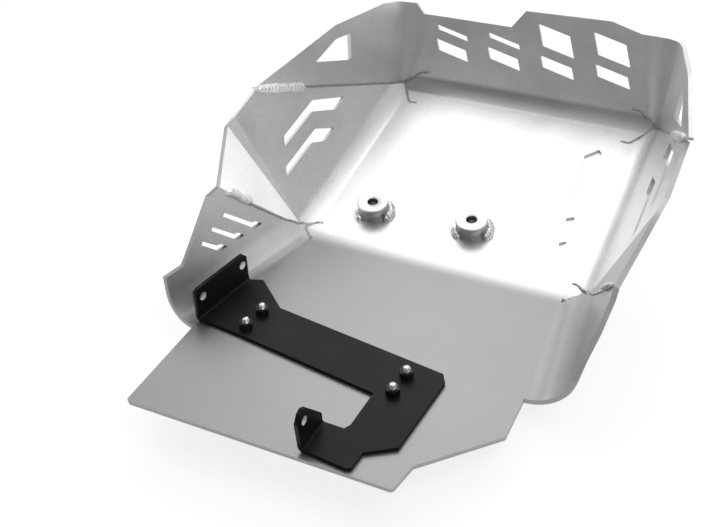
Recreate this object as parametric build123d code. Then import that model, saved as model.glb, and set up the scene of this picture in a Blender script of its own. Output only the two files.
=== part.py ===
from build123d import *
import os
from math import atan2, cos, hypot, pi, radians, sin, tan

os.makedirs("parts", exist_ok=True)

# Sheet
SHEET = 4.0              # aluminium sheet
SLIT = 0.7               # relief slits and open seams between folded panels

# Tub: inner faces, virtual corners before the bend radii
FLOOR_WIDTH = 260.0
FLOOR_LENGTH = 232.0     # rear bend to front corner
SIDE_LEAN = 23.5         # side walls, degrees out of upright
SIDE_RADIUS = 20.0
FRONT_LEAN = 30.0        # front wall, degrees out of upright
FRONT_RADIUS = 23.0
REAR_RISE = 8.5          # rear panel above the floor's level, degrees

# Side wall rims, front and rear end: (back from the front corner, up the wall)
LEFT_RIM = ((192.0, 121.0), (244.0, 119.0))
RIGHT_RIM = ((146.0, 115.0), (216.0, 116.0))

# Front band: a straight strip rolled round both front corners
BAND_HEIGHT = 96.0
ROLL_FOOT = 13.0         # inner radius of the roll at the foot of the band
ROLL_TOP = 46.0          # inner radius at the top
NOTCH = (13.0, 104.0)                # in from the left corner, from and to
NOTCH_HEIGHT = 71.3
NOTCH_SLOPE = 7.0                    # sideways run of the notch's left end
LEFT_EAR_HEIGHT = 81.0
RIGHT_EAR = (116.0, 61.0)            # start in from the left corner, end in from the right one
RIGHT_EAR_HEIGHT = (88.5, 90.5)      # at those two points
SHOULDER = (31.0, 83.0)              # in from the right corner, height where the ear has come down
WING_RIM_START = 10.0                # behind the front wall's inner face
LEFT_WING_RIM = [(54.0, 78.0), (127.0, 56.0), (229.0, 1.5)]     # back along the wing, up the band
RIGHT_WING_RIM = [(54.0, 80.0), (124.0, 62.0), (196.0, 22.0)]
WING_WINDOW = [(95.0, 24.0), (149.0, 22.5), (123.5, 43.0), (102.0, 49.0)]

# Front vents: slanted cut-outs in four columns
VENT_COLUMNS = 4
VENT_MARGIN = 43.2       # floor width that the columns leave over
VENT_BAR = 22.0          # bar between two columns
VENT_FIRST = 29.7        # first column's upper vent, in from the left corner
VENT_UPPER = 58.3        # height of that vent's lower left corner
VENT_FALL = 7.2          # drop of a vent's edges over its width
VENT_RAKE = 0.39         # sideways per unit of height
VENT_SLIM, VENT_TALL = 4.6, 20.0
VENT_GAP = 9.2           # bar between the two rows
VENT_LOWER_TALL = 10.8

# Front corner slits: arm ends on the floor and on the wall
FRONT_ARM_FLOOR = (19.0, 30.0)       # in from the corner, back from it
FRONT_ARM_WALL = 18.0                # in from the corner, where the bend runs out into the wall
FRONT_ARM_RUN = (9.0, 5.0)           # slit's run past the corner: out, down
REAR_ARM_FLOOR = (12.4, 10.0)        # in from the corner, ahead of the rear bend
REAR_ARM_PANEL = (12.0, 11.0)        # in from the corner, behind the rear bend

# Rear flaps, left and right: along the fold and up the flap
FLAP_SEAM_TOP = (85.0, 82.5)
LEFT_FLARE, LEFT_FLAP_LEAN, LEFT_FLAP_RADIUS, LEFT_FLAP_END = 14.0, 4.0, 20.0, 156.0
LEFT_FLAP_RIM = [(97.5, 80.0), (132.0, 38.6), (135.5, 35.5), (154.5, 35.0)]
RIGHT_FLARE, RIGHT_FLAP_LEAN, RIGHT_FLAP_RADIUS, RIGHT_FLAP_END = 6.0, 17.0, 30.0, 131.0
RIGHT_FLAP_RIM = [(97.5, 80.0), (113.0, 62.0), (120.0, 40.0), (130.0, 26.0)]
FLAP_SKIRT = 14.0                    # flap's end edge below the fold line

# Tail outline
TAIL_LEFT, TAIL_RIGHT = 15.0, 10.5   # out past the left side, in from the right side
TAIL_END = 248.0                     # behind the rear bend
TAIL_EDGE = 173.5                    # right edge, as far behind the rear bend
TAIL_CHAMFER = (201.5, 223.5)        # chamfer's foot: from the left side, behind the rear bend
TAIL_TIP = 197.0                     # right end of the tail, from the left side
TAIL_ROUND = 3.0

# Slots
WALL_SLOTS = [[(192.5, 71.4), (136.0, 71.4), (94.3, 46.5), (114.4, 45.6), (144.0, 63.9), (198.5, 64.2)],
              [(211.0, 50.6), (152.3, 50.6), (128.6, 34.6), (149.7, 34.6), (165.5, 44.2), (215.3, 44.2)]]
RIGHT_SLOT_SHIFT = (4.0, 22.0)       # right wall's slots from the left wall's
FLAP_SLOT_FOOT = 27.5
FLAP_SLOTS = [(46.7, 42.7), (67.9, 33.9), (88.2, 23.6)]   # start along the flap, length of the blade
FLAP_SLOT_RISE = 42.0                # blade's angle, degrees
FLAP_SLOT_HEEL = (8.6, 0.35)         # heel's length and tilt
FLAP_SLOT_END = (-2.2, 2.5)          # across the blade's blunt end
FLAP_SLOT_THROAT = [(11.2, 7.3), (6.9, 6.4)]   # corners above the heel
FLOOR_SLOTS = [[(52.5, 172.3), (42.2, 184.4), (38.5, 180.0), (45.4, 106.7)],
               [(43.5, 84.2), (37.8, 87.6), (36.0, 85.5), (41.5, 69.3)],
               [(40.1, 52.6), (35.3, 55.7), (33.8, 54.0), (39.1, 45.9)]]   # from the right, from the rear

# Welded bosses on the floor
BOSS_OD, BOSS_BORE, BOSS_HEIGHT = 28.0, 9.0, 13.0
BOSS_LEFT = (-76.4, 37.4)            # across, ahead of the rear bend
BOSS_RIGHT = (14.8, 43.1)

# Mounting bracket on the tail: from the left side of the floor, behind the rear bend
BRACKET_SHEET = 3.0
BRACKET_BEND = 2.0
TAB_LINE = ((-13.5, 150.0), (-3.0, 89.0))
TAB_HEIGHT, TAB_CORNER = 27.0, 4.0
TAB_FOOT = 8.0                       # flat between a tab's bend and the leg
TAB_HOLES = (8.0, 56.0)              # along the tab
TAB_HOLE_HEIGHT, TAB_HOLE = 17.2, 6.6
EAR_LINE = ((127.5, 242.5), (128.2, 212.5))
EAR_RIM = [(-2.5, 25.0), (1.5, 31.5), (6.0, 33.0), (11.0, 30.0), (28.5, 10.0), (30.0, 7.0)]   # along, up
EAR_HOLE_AT = (6.5, 22.0)
BRACKET_RIM = [(25.1, 154.0), (149.1, 172.7), (147.7, 207.8), (145.0, 212.8)]
BRACKET_LEG = [(162.4, 245.6), (165.5, 243.4), (166.7, 228.1), (187.1, 214.4), (192.6, 142.1),
               (188.0, 134.1), (39.8, 113.1), (9.0, 86.2)]

# Bracket fasteners: M6 countersunk screws from below with nuts on top
SCREW_SPOTS = [(29.5, 124.0), (26.5, 144.3), (164.0, 146.6), (162.0, 167.1)]   # measured as the bracket is
SCREW_D, SCREW_CLEARANCE, SCREW_HEAD_D = 6.0, 6.6, 12.0
SCREW_TIP = 12.0                     # above the rear panel's inner face
NUT_FLATS, NUT_HEIGHT = 10.0, 5.6

# Weld beads
BEAD_WING, BEAD_FLAP, BEAD_BOSS = 2.6, 3.0, 4.4
BEAD_SIDES = 8
WING_BEAD_LENGTH = 58.0
FLAP_BEAD_LENGTH = 34.0
BEAD_INSET = 5.0                     # beads stop short of the rims
BOSS_BEAD_SPAN = 76.0                # degrees of a boss's foot that one bead covers

# Datums
HALF = FLOOR_WIDTH / 2
FRONT_Y = FLOOR_LENGTH / 2
REAR_Y = -FRONT_Y
INNER = SHEET                        # height of the floor's inner face
LAP = 2.0                            # flat on which a folded edge runs into its panel
MARGIN = 20.0                        # blanks and cuts run past the metal by this
REACH = FLOOR_WIDTH + FLOOR_LENGTH   # longer than any panel
FACET_LAP = 0.6                      # facet's bend into the wall, half the sheet's opening there
FACET_FOOT = 0.07                    # share of the facet left open above the corner star
FRONT_SET = FRONT_RADIUS * tan(radians(90 - FRONT_LEAN) / 2)               # bend run-out from the corner
SIDE_SET = SIDE_RADIUS * tan(radians(90 - SIDE_LEAN) / 2)
VENT_PITCH = (FLOOR_WIDTH - VENT_MARGIN) / VENT_COLUMNS
VENT_WIDTH = VENT_PITCH - VENT_BAR
FRONT_ARM_X = HALF - FRONT_ARM_FLOOR[0]
REAR_ARM_X = HALF - REAR_ARM_FLOOR[0]
PANEL_ARM_X = HALF - REAR_ARM_PANEL[0]
ROLL_WIDENS = (ROLL_TOP - ROLL_FOOT) / BAND_HEIGHT                          # per unit of height

FRONT_CORNER = Vector(0, FRONT_Y, INNER)
REAR_CORNER = Vector(0, REAR_Y, INNER)
SLOPE_UP = Vector(0, sin(radians(FRONT_LEAN)), cos(radians(FRONT_LEAN)))
SLOPE_IN = Vector(0, -cos(radians(FRONT_LEAN)), sin(radians(FRONT_LEAN)))
REAR_UP = Vector(0, sin(radians(REAR_RISE)), cos(radians(REAR_RISE)))
REAR_BACK = Vector(0, -cos(radians(REAR_RISE)), sin(radians(REAR_RISE)))

FRONT_PLANE = Plane(FRONT_CORNER, x_dir=(1, 0, 0), z_dir=SLOPE_IN)          # x across, y up the wall
BAND_PLANE = Plane(FRONT_CORNER, x_dir=(1, 0, 0), z_dir=SLOPE_UP)           # x across, y out of the wall
REAR_PLANE = Plane(REAR_CORNER, x_dir=(1, 0, 0), z_dir=REAR_UP)             # x across, y ahead
WALL_PLANE = Plane(Vector(HALF, FRONT_Y, INNER), x_dir=(0, -1, 0),
                   z_dir=(-cos(radians(SIDE_LEAN)), 0, sin(radians(SIDE_LEAN))))   # x back, y up


def slab(plane, outline, inward, outward):
    """Straight-sided block over an outline on a plane, to both sides of it."""
    face = make_face(Polyline(*outline, close=True))
    return extrude(plane.offset(-outward) * face, amount=inward + outward)


def rim_point(rim):
    """Front end of a wall's rim, from the front corner."""
    back, height = rim[0]
    return Vector(height * sin(radians(SIDE_LEAN)), -back, height * cos(radians(SIDE_LEAN)))


def wing_splay(rim):
    """Angle of a wing out of straight back: the band's roll turns it until it meets the wall's seam."""
    tip = rim_point(rim)
    level = tip - SLOPE_UP * tip.dot(SLOPE_UP)
    return atan2(level.X, level.dot(SLOPE_IN))


def seam_plane(rim):
    """Plane of the seam between a wall and its wing: x across, y ahead, right side."""
    tip = rim_point(rim)
    return Plane(Vector(HALF, FRONT_Y, INNER), x_dir=(1, 0, 0), z_dir=(0, tip.Z, -tip.Y))


def fold(lead, radius, lean, height, sheet):
    """Section of a folded edge: inner corner at the origin, flat to the left, leg leaning to the right."""
    turn = radians(90 - lean)
    back = radius * tan(turn / 2)
    lead = back + lead
    leg = Vector(sin(radians(lean)), cos(radians(lean)))
    out = Vector(cos(radians(lean)), -sin(radians(lean))) * sheet
    centre = Vector(-back, radius)
    middle = Vector(sin(turn / 2), -cos(turn / 2))
    inner = ThreePointArc((-back, 0), centre + middle * radius, leg * back)
    outer = ThreePointArc((-back, -sheet), centre + middle * (radius + sheet), leg * back + out)
    edges = [Line((-lead, 0), (-back, 0)), inner, Line(leg * back, leg * height),
             Line(leg * height, leg * height + out), Line(leg * height + out, leg * back + out),
             outer, Line((-back, -sheet), (-lead, -sheet)), Line((-lead, -sheet), (-lead, 0))]
    return make_face(edges)


def roll_run(rim, height):
    """Distance from the band's corner to the end of its roll, at a height up the band."""
    radius = ROLL_FOOT + ROLL_WIDENS * height
    return radius / tan((pi / 2 + wing_splay(rim)) / 2)


def roll_section(rim, height):
    """Section of the roll at a height up the band, drawn on the right: x across, y out of the wall."""
    splay = wing_splay(rim)
    run = roll_run(rim, height)
    radius = ROLL_FOOT + ROLL_WIDENS * height
    corner = Vector(HALF, 0)
    along = Vector(sin(splay), -cos(splay))
    out = Vector(cos(splay), sin(splay)) * SHEET
    centre = corner + Vector(-run, -radius)
    toward = (corner - centre).normalized()
    inner = [corner + Vector(-run, 0), centre + toward * radius, corner + along * run]
    outer = [inner[0] + Vector(0, SHEET), centre + toward * (radius + SHEET), inner[2] + out]
    ends = [Line(inner[2], outer[2]), Line(outer[0], inner[0])]
    return make_face([ThreePointArc(*inner), ends[0], ThreePointArc(*outer), ends[1]])


def crossing(start, end, rim):
    """Where a line on the front wall meets the edge of the roll: across and up, measured on the right."""
    near = HALF - start[0] - roll_run(rim, start[1])
    far = HALF - end[0] - roll_run(rim, end[1])
    share = near / (near - far)
    return start[0] + (end[0] - start[0]) * share, start[1] + (end[1] - start[1]) * share


# Floor, rear panel and front bend: one long section, then trimmed to the plan outline
def spine():
    reach = FRONT_SET + 2 * LAP
    far = TAIL_END + MARGIN
    front_centre = Vector(FRONT_Y - FRONT_SET, INNER + FRONT_RADIUS)
    turn = radians(90 - FRONT_LEAN)
    middle = Vector(sin(turn / 2), -cos(turn / 2))
    up = Vector(sin(radians(FRONT_LEAN)), cos(radians(FRONT_LEAN)))
    out = Vector(cos(radians(FRONT_LEAN)), -sin(radians(FRONT_LEAN))) * SHEET
    corner = Vector(FRONT_Y, INNER)
    back = Vector(REAR_BACK.Y, REAR_BACK.Z)
    down = Vector(-REAR_UP.Y, -REAR_UP.Z) * SHEET
    rear = Vector(REAR_Y, INNER)
    under = Vector(REAR_Y - SHEET * tan(radians(REAR_RISE) / 2), 0)
    edges = [Line(rear + back * far, rear), Line(rear, (FRONT_Y - FRONT_SET, INNER)),
             ThreePointArc((FRONT_Y - FRONT_SET, INNER), front_centre + middle * FRONT_RADIUS,
                           corner + up * FRONT_SET),
             Line(corner + up * FRONT_SET, corner + up * reach),
             Line(corner + up * reach, corner + up * reach + out),
             Line(corner + up * reach + out, corner + up * FRONT_SET + out),
             ThreePointArc(corner + up * FRONT_SET + out, front_centre + middle * (FRONT_RADIUS + SHEET),
                           (FRONT_Y - FRONT_SET, 0)),
             Line((FRONT_Y - FRONT_SET, 0), under), Line(under, rear + back * far + down),
             Line(rear + back * far + down, rear + back * far)]
    section = Plane(origin=(0, 0, 0), x_dir=(0, 1, 0), z_dir=(1, 0, 0)) * make_face(edges)
    sheet = extrude(section, amount=HALF + 3 * MARGIN, both=True)

    def plan(x, behind):
        return (x, REAR_Y - behind * cos(radians(REAR_RISE)))

    def flap_run(flare, lean, radius, distance):
        """Start of a flap's bend on the rear panel, at a distance behind the rear bend."""
        spread = distance * tan(radians(flare)) - radius * tan(radians(90 - lean) / 2) / cos(radians(flare))
        return HALF + spread, distance

    left_end = LEFT_FLAP_END * cos(radians(LEFT_FLARE))
    right_end = RIGHT_FLAP_END * cos(radians(RIGHT_FLARE))
    left_flap = (LEFT_FLARE, LEFT_FLAP_LEAN, LEFT_FLAP_RADIUS)
    right_flap = (RIGHT_FLARE, RIGHT_FLAP_LEAN, RIGHT_FLAP_RADIUS)
    side = HALF - SIDE_SET
    arm_back = FRONT_ARM_FLOOR[1]
    meet = arm_back * (1 - (side - FRONT_ARM_X) / (HALF - FRONT_ARM_X))
    wall_x = HALF - FRONT_ARM_WALL
    wall_y = FRONT_Y + FRONT_SET * sin(radians(FRONT_LEAN))
    ahead, behind = REAR_ARM_FLOOR[1], REAR_ARM_PANEL[1]
    half = [(wall_x, FRONT_Y + MARGIN), (wall_x, wall_y), (HALF, FRONT_Y), (side, FRONT_Y - meet),
            (side, REAR_Y + ahead), (HALF, REAR_Y), plan(PANEL_ARM_X, behind)]
    right = [plan(*flap_run(*right_flap, behind)), plan(*flap_run(*right_flap, right_end))]
    left = [plan(*flap_run(*left_flap, left_end)), plan(*flap_run(*left_flap, behind))]
    tail = [plan(HALF - TAIL_RIGHT, right_end), plan(HALF - TAIL_RIGHT, TAIL_EDGE),
            plan(TAIL_CHAMFER[0] - HALF, TAIL_CHAMFER[1]), plan(TAIL_TIP - HALF, TAIL_END),
            plan(-HALF - TAIL_LEFT, TAIL_END), plan(-HALF - TAIL_LEFT, left_end)]
    outline = half + right + tail + [(-x, y) for x, y in left + half[::-1]]
    face = make_face(Polyline(*outline, close=True))
    edge = REAR_Y - TAIL_EDGE * cos(radians(REAR_RISE))
    ends = [corner for corner in face.vertices() if corner.Y < edge + LAP]
    face = fillet(ends, TAIL_ROUND)
    return sheet & extrude(Pos(0, 0, -MARGIN) * face, amount=REACH)


# Side wall with its bend along the floor, drawn on the right
def side_wall(rim, shift):
    section = Plane(Vector(HALF, FRONT_Y, INNER), x_dir=(1, 0, 0), z_dir=(0, -1, 0)) * fold(
        LAP, SIDE_RADIUS, SIDE_LEAN, rim[0][1] + MARGIN, SHEET)
    wall = extrude(section, amount=rim[1][0] + MARGIN)
    slope = rim[0][1] / rim[0][0]
    keep = [(-MARGIN, -MARGIN * slope), rim[0], rim[1], (FLOOR_LENGTH, 0), (FLOOR_LENGTH, -MARGIN),
            (-MARGIN, -MARGIN - LAP)]
    wall &= slab(WALL_PLANE, keep, 2 * MARGIN, SHEET + MARGIN)
    over = [(-HALF, -REACH), (HALF, -REACH), (HALF, 2 * MARGIN), (-HALF, 2 * MARGIN)]
    wall -= slab(seam_plane(rim).offset(-SLIT / 2), over, REACH, 0)
    arm_back = FRONT_ARM_FLOOR[1] + SHEET
    lean = FRONT_ARM_FLOOR[0] / FRONT_ARM_FLOOR[1]
    side = HALF + SLIT
    front = [(side - arm_back * lean, FRONT_Y - arm_back), (side + MARGIN * lean, FRONT_Y + MARGIN),
             (0, FRONT_Y + MARGIN), (0, FRONT_Y - arm_back)]
    wall -= slab(Plane.XY, front, REACH, MARGIN)
    start = REAR_ARM_X - SHEET
    edge = REAR_Y + SLIT
    rear = [(HALF + SHEET, edge - SHEET), (HALF, edge), (start, edge + REAR_ARM_FLOOR[1]),
            (start, REAR_Y - 2 * MARGIN), (HALF + SHEET, REAR_Y - 2 * MARGIN)]
    wall -= slab(Plane.XY, rear, 3 * SHEET, MARGIN)
    for outline in WALL_SLOTS:
        placed = [(back + shift[0], height + shift[1]) for back, height in outline]
        wall -= slab(WALL_PLANE, placed, MARGIN, SHEET + MARGIN)
    return wall


# Axes of a flap, drawn on the right: bend's corner, along the fold, out across it, up the flap
def flap_frame(flare, lean):
    bend = REAR_CORNER + Vector(HALF, 0, 0)
    along = Vector(sin(radians(flare)), 0, 0) + REAR_BACK * cos(radians(flare))
    across = Vector(cos(radians(flare)), 0, 0) - REAR_BACK * sin(radians(flare))
    up = REAR_UP * cos(radians(lean)) + across * sin(radians(lean))
    return bend, along, across, up


# Flap with its bend, drawn on the right
def flap(flare, lean, radius, end, rim, slots):
    bend, along, across, up = flap_frame(flare, lean)
    section = fold(LAP, radius, lean, FLAP_SEAM_TOP[1] + MARGIN, SHEET)
    sheet = extrude(Plane(bend, x_dir=across, z_dir=along) * section, amount=end + MARGIN)
    face = Plane(bend, x_dir=along, z_dir=along.cross(up))
    gap = SLIT / 2
    keep = [(SLIT, 0), (FLAP_SEAM_TOP[0] + gap, FLAP_SEAM_TOP[1])] + rim
    keep += [(end, -FLAP_SKIRT), (LAP, -FLAP_SKIRT)]
    sheet &= slab(face, keep, 3 * MARGIN, 3 * MARGIN)
    slope = REAR_ARM_PANEL[1] / REAR_ARM_PANEL[0]
    start = PANEL_ARM_X - 1.5 * SHEET
    arm = [(HALF + SHEET, slope * SHEET - SLIT), (start, slope * (start - HALF) - SLIT),
           (start, 2 * MARGIN), (HALF + SHEET, 2 * MARGIN)]
    sheet -= slab(REAR_PLANE, arm, 2 * SHEET, MARGIN)
    rise = radians(FLAP_SLOT_RISE)
    foot = FLAP_SLOT_FOOT
    heel, tilt = FLAP_SLOT_HEEL
    for start, length in slots:
        tip = (start + heel + length * cos(rise), foot + length * sin(rise))
        blade = [(start, foot + tilt), (start + heel, foot), tip]
        blade += [(tip[0] + FLAP_SLOT_END[0], tip[1] + FLAP_SLOT_END[1])]
        blade += [(start + x, foot + y) for x, y in FLAP_SLOT_THROAT]
        sheet -= slab(face, blade, MARGIN, MARGIN)
    return sheet


# Facet between a side wall's end and its flap, drawn on the right
def facet(flare, lean, rim):
    bend, along, across, up = flap_frame(flare, lean)
    top = WALL_PLANE.from_local_coords(Vector(rim[1][0], rim[1][1], 0))
    end = bend + along * FLAP_SEAM_TOP[0] + up * FLAP_SEAM_TOP[1]
    inward = (end - bend).cross(top - bend).normalized()
    plane = Plane(bend, x_dir=(top - bend).normalized().cross(inward), z_dir=inward)
    peak, seam = plane.to_local_coords(top), plane.to_local_coords(end)
    bite = FACET_LAP if seam.X < 0 else -FACET_LAP
    low = FACET_FOOT
    outline = [(peak.X + bite, peak.Y), (seam.X, seam.Y), (seam.X * low, seam.Y * low),
               (peak.X * low + bite, peak.Y * low)]
    return slab(plane, outline, 0, SHEET)


# Front wall between the two rolls, with its vents and its stepped rim
def front_wall():
    out, down = FRONT_ARM_RUN
    foot, arm = (HALF - FRONT_ARM_WALL, FRONT_SET + SLIT), (HALF + out, -down)
    right_low, left_low = crossing(foot, arm, RIGHT_RIM), crossing(foot, arm, LEFT_RIM)
    ear_end, shoulder = (HALF - RIGHT_EAR[1], RIGHT_EAR_HEIGHT[1]), (HALF - SHOULDER[0], SHOULDER[1])
    right_top = crossing(ear_end, shoulder, RIGHT_RIM)
    left_top = (roll_run(LEFT_RIM, NOTCH_HEIGHT) - HALF, NOTCH_HEIGHT)
    outline = [(-foot[0], foot[1]), foot, right_low, right_top, ear_end,
               (RIGHT_EAR[0] - HALF, RIGHT_EAR_HEIGHT[0]), (NOTCH[1] - HALF, NOTCH_HEIGHT),
               left_top, (-left_low[0], left_low[1])]
    wall = slab(FRONT_PLANE, outline, 0, SHEET)
    for column in range(VENT_COLUMNS):
        left = VENT_FIRST - HALF + VENT_PITCH * column
        tall = VENT_SLIM if column < VENT_COLUMNS / 2 else VENT_TALL
        wall -= vent(left, VENT_UPPER, tall)
        wall -= vent(left + VENT_RAKE * VENT_GAP, VENT_UPPER - VENT_GAP - VENT_LOWER_TALL, VENT_LOWER_TALL)
    return wall


# Rolled corner of the front band, small at the foot and wide at the top, drawn on the right
def roll(rim, wing_rim, rim_profile):
    sections = [BAND_PLANE.offset(height) * roll_section(rim, height) for height in (-LAP, BAND_HEIGHT)]
    corner = loft(sections, ruled=True)
    corner &= slab(FRONT_PLANE, rim_profile, REACH, MARGIN)
    turn = cos(wing_splay(rim))
    side_view = Plane(FRONT_CORNER, x_dir=SLOPE_IN, z_dir=(-1, 0, 0))
    back, height = wing_rim[0]
    high = BAND_HEIGHT + MARGIN
    blank = [(-MARGIN, -MARGIN), (-MARGIN, high), (WING_RIM_START, high), (WING_RIM_START, SHOULDER[1]),
             (back * turn, height), (REACH, height), (REACH, -MARGIN)]
    corner &= slab(side_view, blank, 0, REACH)
    out, down = FRONT_ARM_RUN
    foot = (HALF - FRONT_ARM_WALL, FRONT_SET + SLIT)
    foot_cut = [(0, -down), (0, foot[1]), foot, (HALF + out, -down)]
    corner -= slab(FRONT_PLANE, foot_cut, 3 * SHEET, SHEET + MARGIN)
    under = [(-HALF, -REACH), (HALF, -REACH), (HALF, 0), (-HALF, 0)]
    return corner - slab(seam_plane(rim).offset(SLIT / 2), under, 0, HALF)


# Flat wing with its window, drawn on the right
def wing(rim, wing_rim):
    splay = wing_splay(rim)
    back = Vector(sin(splay), 0, 0) + SLOPE_IN * cos(splay)
    plane = Plane(Vector(HALF, FRONT_Y, INNER), x_dir=back, z_dir=back.cross(SLOPE_UP))
    tip = rim_point(rim)
    rise = tip.dot(SLOPE_UP) / tip.dot(back)
    lift = SLIT / 2 * hypot(1, rise)
    widen = roll_run(rim, 1) - roll_run(rim, 0)
    start = (roll_run(rim, 0) + widen * lift) / (1 - widen * rise)
    step = (WING_RIM_START / cos(splay), SHOULDER[1])
    fall = (wing_rim[0][1] - step[1]) / (wing_rim[0][0] - step[0])
    top = (roll_run(rim, 0) + widen * (step[1] - fall * step[0])) / (1 - widen * fall)
    outline = [(start, rise * start + lift), (top, step[1] + fall * (top - step[0]))] + wing_rim
    outline += [(wing_rim[-1][0], rise * wing_rim[-1][0] + lift)]
    return slab(plane, outline, 0, SHEET) - slab(plane, WING_WINDOW, MARGIN, MARGIN)


# Front band: wall, rolls and wings in one strip
def front_band():
    shoulder, shoulder_height = HALF - SHOULDER[0], SHOULDER[1]
    right_profile = [(0, -MARGIN), (REACH, -MARGIN), (REACH, shoulder_height), (shoulder, shoulder_height),
                     (HALF - RIGHT_EAR[1], RIGHT_EAR_HEIGHT[1]), (0, RIGHT_EAR_HEIGHT[1])]
    notch = HALF - NOTCH[0]
    left_profile = [(0, -MARGIN), (REACH, -MARGIN), (REACH, LEFT_EAR_HEIGHT),
                    (notch + NOTCH_SLOPE, LEFT_EAR_HEIGHT), (notch, NOTCH_HEIGHT), (0, NOTCH_HEIGHT)]
    right = roll(RIGHT_RIM, RIGHT_WING_RIM, right_profile) + wing(RIGHT_RIM, RIGHT_WING_RIM)
    left = roll(LEFT_RIM, LEFT_WING_RIM, left_profile) + wing(LEFT_RIM, LEFT_WING_RIM)
    return front_wall() + right + mirror(left, about=Plane.YZ)


def vent(left, low, tall):
    """Slanted vent through the front wall, from its lower left corner."""
    lean = VENT_RAKE * tall
    right = left + VENT_WIDTH
    outline = [(left, low), (right, low - VENT_FALL), (right - lean, low - VENT_FALL + tall),
               (left - lean, low + tall)]
    return slab(FRONT_PLANE, outline, MARGIN, SHEET + MARGIN)


def rear_point(x, behind, height=0.0):
    """Point over the rear panel: across, behind the rear bend and up from its inner face."""
    return REAR_CORNER + Vector(x, 0, 0) + REAR_BACK * behind + REAR_UP * height


def bar(start, end, radius):
    """Many-sided bar between two points, tapered at both ends."""
    length = (end - start).length
    foot = Plane(start, z_dir=end - start)
    rings = [(0, radius / 2), (radius, radius), (length - radius, radius), (length, radius / 2)]
    return loft([foot.offset(at) * RegularPolygon(size, BEAD_SIDES) for at, size in rings], ruled=True)


# Skid plate: the folded and trimmed sheet
plate = spine() + front_band()
plate += side_wall(RIGHT_RIM, RIGHT_SLOT_SHIFT) + facet(RIGHT_FLARE, RIGHT_FLAP_LEAN, RIGHT_RIM)
plate += flap(RIGHT_FLARE, RIGHT_FLAP_LEAN, RIGHT_FLAP_RADIUS, RIGHT_FLAP_END, RIGHT_FLAP_RIM, [])
left_side = side_wall(LEFT_RIM, (0, 0)) + facet(LEFT_FLARE, LEFT_FLAP_LEAN, LEFT_RIM)
left_side += flap(LEFT_FLARE, LEFT_FLAP_LEAN, LEFT_FLAP_RADIUS, LEFT_FLAP_END, LEFT_FLAP_RIM, FLAP_SLOTS)
plate += mirror(left_side, about=Plane.YZ)
for slot in FLOOR_SLOTS:
    plate -= slab(Plane.XY, [(HALF - x, REAR_Y + ahead) for x, ahead in slot], SHEET + MARGIN, MARGIN)
for x, ahead in (BOSS_LEFT, BOSS_RIGHT):
    plate -= Pos(x, REAR_Y + ahead, 0) * Cylinder(BOSS_BORE / 2, 4 * SHEET)

screw_spots = [(x - HALF, behind) for x, behind in SCREW_SPOTS]
screws, nuts = [], []
head_depth = (SCREW_HEAD_D - SCREW_D) / 2
for x, behind in screw_spots:
    foot = Plane(rear_point(x, behind, -SHEET), x_dir=(1, 0, 0), z_dir=REAR_UP)
    grip = SHEET + BRACKET_SHEET
    hole = Cylinder(SCREW_CLEARANCE / 2, 2 * grip, align=(Align.CENTER, Align.CENTER, Align.MIN))
    sink = Cone(SCREW_HEAD_D / 2, SCREW_D / 2, head_depth, align=(Align.CENTER, Align.CENTER, Align.MIN))
    plate -= foot * hole + foot * sink
    shank = Cylinder(SCREW_D / 2, SHEET + SCREW_TIP, align=(Align.CENTER, Align.CENTER, Align.MIN))
    screws.append(foot * (sink + shank))
    seat = Plane(rear_point(x, behind, BRACKET_SHEET), x_dir=(1, 0, 0), z_dir=REAR_UP)
    nut = extrude(RegularPolygon(NUT_FLATS / 2, 6, major_radius=False), amount=NUT_HEIGHT)
    nut -= Cylinder(SCREW_D / 2, 3 * NUT_HEIGHT)
    nuts.append(seat * nut)


# Mounting bracket: flat leg on the tail with two upright tabs
def bracket_tab(line, rim, holes):
    """Upright tab folded from the bracket along a line on its top face; rim and holes along it and up."""
    start, end = (rear_point(x - HALF, behind, BRACKET_SHEET) for x, behind in line)
    along = (end - start).normalized()
    out = REAR_UP.cross(along)
    tall = max(height for at, height in rim) + LAP
    section = Plane(start - along * MARGIN, x_dir=out, z_dir=along) * fold(
        TAB_FOOT, BRACKET_BEND, 0, tall, BRACKET_SHEET)
    tab = extrude(section, amount=(end - start).length + 2 * MARGIN)
    face = Plane(start, x_dir=along, z_dir=along.cross(REAR_UP))
    tab &= slab(face, [(0, -SHEET)] + rim + [(rim[-1][0], -SHEET)], 2 * MARGIN, 2 * MARGIN)
    for at, rise in holes:
        centre = start + along * at + REAR_UP * rise
        tab -= Plane(centre, z_dir=along.cross(REAR_UP)) * Cylinder(TAB_HOLE / 2, 2 * MARGIN)
    return tab


tab_length = hypot(TAB_LINE[1][0] - TAB_LINE[0][0], TAB_LINE[1][1] - TAB_LINE[0][1])
tab_rim = [(0, TAB_HEIGHT - TAB_CORNER / 2), (TAB_CORNER, TAB_HEIGHT), (tab_length - TAB_CORNER, TAB_HEIGHT),
           (tab_length, TAB_HEIGHT - TAB_CORNER)]
tab = bracket_tab(TAB_LINE, tab_rim, [(at, TAB_HOLE_HEIGHT) for at in TAB_HOLES])
ear = bracket_tab(EAR_LINE, EAR_RIM, [EAR_HOLE_AT])
inset = BRACKET_BEND + LAP / 2
feet = [[(x + inset, behind) for x, behind in line] for line in (TAB_LINE, EAR_LINE)]
leg = [feet[0][0]] + BRACKET_RIM + feet[1][::-1] + BRACKET_LEG + [feet[0][1]]
bracket = slab(REAR_PLANE, [(x - HALF, -behind) for x, behind in leg], BRACKET_SHEET, 0) + tab + ear
for x, behind in screw_spots:
    bracket -= Plane(rear_point(x, behind), z_dir=REAR_UP) * Cylinder(SCREW_CLEARANCE / 2, MARGIN)


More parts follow.
